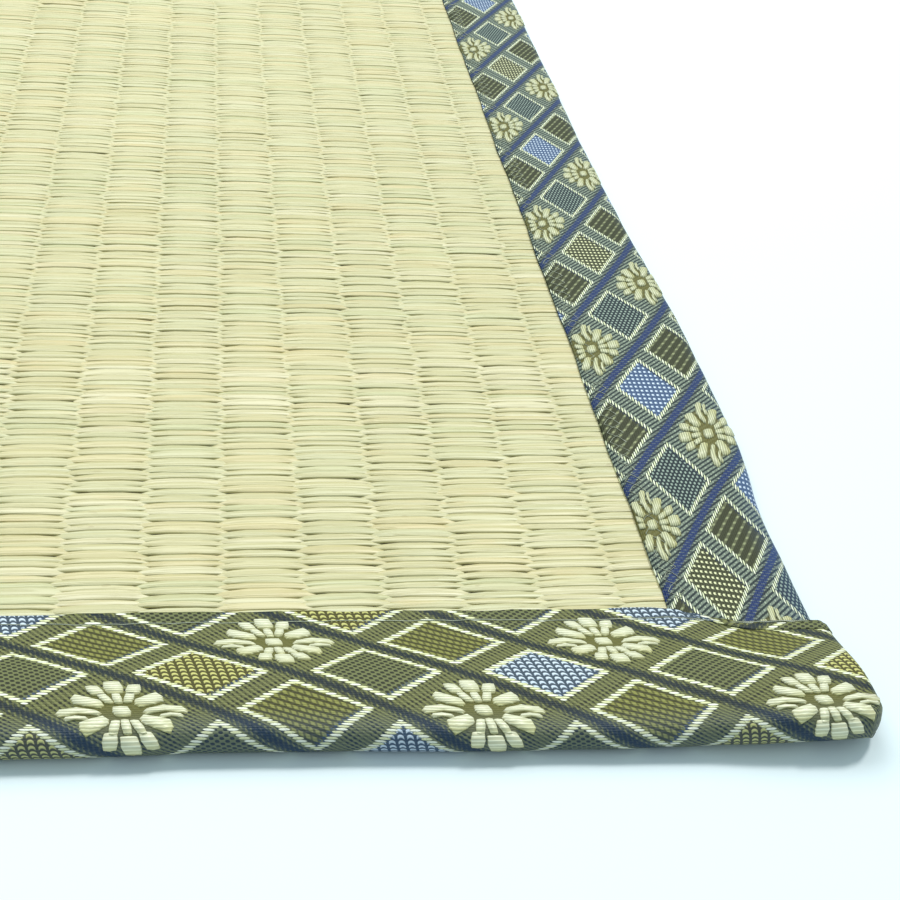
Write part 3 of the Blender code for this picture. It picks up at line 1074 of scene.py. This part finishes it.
def flower_points(centres):
    """Every block of the flowers round these middles, as (along, across, whether on its edge, low side)."""
    p, q = (part.ravel() for part in np.meshgrid(BLOCK_GRID, BLOCK_GRID, indexing="ij"))
    block = np.moveaxis(flower_blocks(), 1, 0)[:, :, None]
    mid_along, mid_across, half_length, half_width, cos, sin, lean, narrowing, droop = block
    out = half_length * p * (1 - 0.20 * q * q)
    over = half_width * q * (1 + narrowing * p) * (1 - 0.12 * p * p)
    middle_along = centres[:, 0, None, None]
    middle_across = centres[:, 1, None, None]
    across = middle_across + mid_across + out * sin + over * np.abs(cos) + droop * p * p
    shift = mid_along + out * cos - over * (np.copysign(np.abs(sin), sin * cos) - lean)
    along = middle_along + shift + FLOWER_SKEW * (across - middle_across)
    edge = np.broadcast_to(np.maximum(np.abs(p), np.abs(q)) > BLOCK_EDGE, along.shape)
    low_side = np.clip((over * np.abs(cos) + out * sin) / (half_width + 0.3), 0, 1)
    return along, across, edge, np.broadcast_to(low_side, along.shape)


def make_flowers(ribbon, name, material):
    """The raised floats of the flowers on a ribbon's upper side."""
    stations = ribbon_stations(ribbon)
    low = stations[0] * MM + PATTERN_START[ribbon.kind]
    high = stations[-1] * MM + PATTERN_START[ribbon.kind]
    width = ribbon.lengths[-1] * MM
    along, across, edge, low_side = flower_points(flower_places(ribbon, low - 10, high + 10))
    places = np.column_stack((along.ravel(), across.ravel()))
    real_along, real_across = real_place(ribbon, places)
    middles = real_across.reshape(along.shape).mean(-1) * MM
    ends = real_along.reshape(along.shape).mean(-1)
    keep = (middles > FLOWER_START) & (middles < width * FLOWER_SHARE)
    keep &= (ends > stations[0] + BLOCK_FROM_END) & (ends < stations[-1] - BLOCK_FROM_END)
    chosen = np.broadcast_to(keep[:, :, None], along.shape).ravel()
    raised = np.where(edge, BLOCK_SINK, BLOCK_RISE).ravel()[chosen]
    points = ribbon.at(real_along[chosen], np.maximum(real_across, BLOCK_FROM_EDGE)[chosen], raised)
    side = len(BLOCK_GRID)
    quads = many(grid_quads(side, side), len(points) // side ** 2, side ** 2)
    places = places[chosen]
    values = {"rim": edge.ravel()[chosen], "low_side": low_side.ravel()[chosen]}
    bake = folded_map(places[:, 0] - low, places[:, 1], high - low, width, 4)
    return make_object(name, points, quads, material, values, {"cloth": places, "OFBake": bake})


# The sewing

def stitch_lines(ribbon, along):
    """How far in the sewing runs: one line on an end ribbon, two crossing zigzags on a side one."""
    if ribbon.kind == "end":
        return [STITCH_INSET + STITCH_SWAY * np.sin(along * 131.0)]
    swing = np.abs((along / ZIGZAG_LENGTH) % 1 - 0.5) * 2
    return [ZIGZAG_INNER + (ZIGZAG_OUTER - ZIGZAG_INNER) * share for share in (swing, 1 - swing)]


def make_stitches(ribbon, name, material):
    """The sewing thread: on the cloth between stitches, and down into it at each one."""
    step = ZIGZAG_LENGTH / 4 if ribbon.kind == "side" else STITCH_LENGTH / 6
    along = np.arange(-LAST_STITCH[ribbon.kind], LAST_STITCH[ribbon.kind], step)
    to_stitch = np.abs((along / STITCH_LENGTH) % 1 - 0.5) * 2
    raised = THREAD_RADIUS * (THREAD_HIGH - THREAD_SUNK * to_stitch ** 6)
    angles = np.radians((0, 90, 180, 270, 360))
    threads = []
    for across in stitch_lines(ribbon, along):
        rings = []
        for angle in angles:
            beside = across + THREAD_RADIUS * math.cos(angle)
            rings.append(ribbon.at(along, beside, raised + THREAD_RADIUS * math.sin(angle)))
        threads.append(np.stack(rings, 1).reshape(-1, 3))
    quads = many(grid_quads(len(along), len(angles)), len(threads), len(threads[0]))
    return make_object(name, np.vstack(threads), quads, material)


# Light, floor and camera

def make_floor():
    corners = FLOOR_HALF_SIZE * np.array(((-1, -1, 0), (1, -1, 0), (1, 1, 0), (-1, 1, 0)))
    pale = plain_material("pale floor", FLOOR_PAINT, 0.85, 0.1)
    floor = make_object("floor", corners, np.array(((0, 1, 2, 3),)), pale)


def make_lights():
    sun = bpy.data.lights.new("window", "SUN")
    sun.energy = SUN_STRENGTH
    sun.angle = math.radians(SUN_WIDTH_DEGREES)
    sun.color = SUN_COLOUR
    window = add_object("window", sun)
    window.rotation_euler = Vector(SUN_TRAVELS).to_track_quat("-Z", "Y").to_euler()
    glow = bpy.data.lights.new("lamp over the middle", "AREA")
    glow.size = LAMP_SIZE
    glow.energy = LAMP_POWER
    lamp = add_object("lamp over the middle", glow)
    lamp.location = LAMP_PLACE


def make_room():
    world = bpy.data.worlds.new("room")
    world.use_nodes = True
    backdrop = world.node_tree.nodes["Background"]
    backdrop.inputs["Color"].default_value = ROOM_COLOUR
    backdrop.inputs["Strength"].default_value = ROOM_STRENGTH
    bpy.context.scene.world = world
    bpy.context.scene.view_settings.view_transform = "Standard"


def make_camera():
    """The photograph's viewpoint: low over the near corner, looking down and a little to the right."""
    pitch, yaw, roll = (math.radians(angle) for angle in CAMERA_DEGREES)
    forward = Vector((math.sin(yaw) * math.cos(pitch), math.cos(yaw) * math.cos(pitch), -math.sin(pitch)))
    level = forward.cross(Vector((0, 0, 1))).normalized()
    upright = level.cross(forward)
    right = level * math.cos(roll) + upright * math.sin(roll)
    up = upright * math.cos(roll) - level * math.sin(roll)
    data = bpy.data.cameras.new("camera")
    data.lens = CAMERA_LENS
    data.clip_start = NEAREST_SEEN
    camera = add_object("camera", data)
    turned = Matrix((right, up, -forward)).transposed().to_4x4()
    camera.matrix_world = Matrix.Translation(CAMERA_PLACE) @ turned
    bpy.context.scene.camera = camera


def build_weave():
    rush = rush_material()
    grooves = rib_grooves()
    columns = len(grooves) - 1
    centres = strand_centres()
    tones = np.clip(rng.normal(TONE_MIDDLE, TONE_SPREAD, len(centres)), 0, 1)
    near_strands = int(np.searchsorted(centres, -HALF_LENGTH + NEAR_LENGTH))
    near_centres = centres[:near_strands]
    first_near = columns - NEAR_COLUMNS
    half = first_near + NEAR_COLUMNS // 2
    pieces = [
        near_rushes("rushes_near_left", grooves, range(first_near, half), near_centres, tones, rush),
        near_rushes("rushes_near_right", grooves, range(half, columns), near_centres, tones, rush),
    ]
    every = range(len(centres))
    splits = np.linspace(0, first_near, FAR_TILES).astype(int)
    for tile, (first, last) in enumerate(zip(splits[:-1], splits[1:]), 1):
        pieces.append(far_weave(f"rushes_{tile}", grooves, range(first, last), centres, every, tones, rush))
    beyond = range(near_strands - 1, len(centres))
    right = range(first_near, columns)
    pieces.append(far_weave("rushes_beyond", grooves, right, centres, beyond, tones, rush))
    ground = rush_ground(ground_material())
    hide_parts("rush_mat")
    for piece in pieces + [ground]:
        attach(piece, "root")


def build_ribbons():
    sewing = plain_material("sewing thread", THREAD_PAINT, 0.3, 0.5)
    for kind, section in (("side", side_section()), ("end", end_section())):
        cloth = brocade_material(f"{kind} brocade", RIBBON_PAINTS[kind], PATTERNS[kind])
        floss = floss_material(f"{kind} floss", **FLOSS_PAINTS[kind])
        ends = (("right", 1), ("left", -1)) if kind == "side" else (("front", 1), ("back", -1))
        for label, turn in ends:
            ribbon = Ribbon(f"{kind}_ribbon_{label}", kind, turn, section)
            piece = make_ribbon(ribbon, cloth)
            flowers = make_flowers(ribbon, f"{kind}_flowers_{label}", floss)
            stitches = make_stitches(ribbon, f"{kind}_stitches_{label}", sewing)
            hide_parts(f"{kind}_binding_{label}")
            for part in (piece, flowers, stitches):
                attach(part, "root")


make_floor()
make_lights()
make_room()
make_camera()
build_weave()
build_ribbons()
